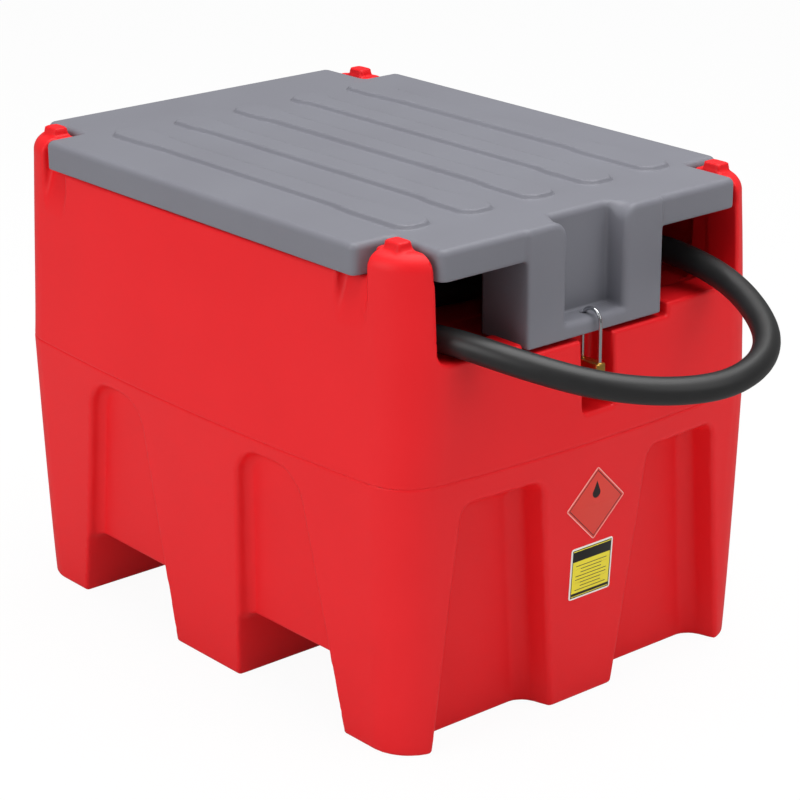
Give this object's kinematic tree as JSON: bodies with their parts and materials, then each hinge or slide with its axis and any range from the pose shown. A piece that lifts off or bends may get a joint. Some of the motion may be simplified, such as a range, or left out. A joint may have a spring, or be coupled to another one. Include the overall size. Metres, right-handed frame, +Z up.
{
  "type": "portable fuel transfer tank",
  "caption": "Portable moulded diesel transfer tank on runners with fork tunnels, hinged lid over a pump bay, delivery hose and padlock.",
  "frame": {"origin": "centre of the footprint at ground level", "axes": "+Z up; -Y is the short front face with the hose mouths and the padlock, +X is to the right seen from the front"},
  "size_m": [0.598, 0.9809, 0.6],
  "materials": {
    "tank_polyethylene": "rotomoulded red polyethylene, satin with a fine pebbled skin",
    "lid_polyethylene": "rotomoulded grey polyethylene, satin",
    "hose_rubber": "black rubber delivery hose, matt",
    "black_plastic": "black moulded plastic",
    "pump_iron": "dark painted cast iron",
    "zinc_steel": "zinc plated steel",
    "chrome_steel": "polished hardened steel",
    "brass": "brushed brass",
    "aluminium": "turned aluminium",
    "hazard_label": "plain red vinyl plate",
    "notice_label": "plain yellow vinyl plate with a white border"
  },
  "bodies": {
    "tank": {"front_runner": "tank_polyethylene", "middle_runner": "tank_polyethylene", "rear_runner": "tank_polyethylene", "tank_bottom": "tank_polyethylene", "lower_left_wall": "tank_polyethylene", "lower_right_wall": "tank_polyethylene", "lower_front_wall": "tank_polyethylene", "lower_rear_wall": "tank_polyethylene", "left_wall": "tank_polyethylene", "right_wall": "tank_polyethylene", "rear_wall": "tank_polyethylene", "front_wall": "tank_polyethylene", "bay_floor": "tank_polyethylene", "front_left_post": "tank_polyethylene", "front_right_post": "tank_polyethylene", "rear_left_post": "tank_polyethylene", "rear_right_post": "tank_polyethylene", "hazard_plate": "hazard_label", "notice_plate": "notice_label", "left_hinge_base": "zinc_steel", "right_hinge_base": "zinc_steel", "left_hinge_pin": "zinc_steel", "right_hinge_pin": "zinc_steel", "pump_head": "pump_iron", "pump_motor": "black_plastic", "pump_foot": "zinc_steel", "outlet_fitting": "brass", "suction_pipe": "black_plastic", "filler_cap": "black_plastic", "nozzle_body": "black_plastic", "nozzle_spout": "aluminium", "nozzle_cradle": "black_plastic", "hose": "hose_rubber"},
    "lid": {"lid_panel": "lid_polyethylene", "lid_skirt": "lid_polyethylene", "lid_rib_1": "lid_polyethylene", "lid_rib_2": "lid_polyethylene", "lid_rib_3": "lid_polyethylene", "lid_rib_4": "lid_polyethylene", "lid_rib_5": "lid_polyethylene", "lid_tongue": "lid_polyethylene", "lid_left_leaf": "zinc_steel", "lid_right_leaf": "zinc_steel", "padlock_body": "brass", "padlock_shackle": "chrome_steel"}
  },
  "joints": [
    {"name": "lid_hinge", "type": "hinge", "parent": "tank", "child": "lid", "pos_m": [0, 0.386, 0.5623], "axis": [-1, 0, 0], "range_deg": [0, 85]}
  ]
}
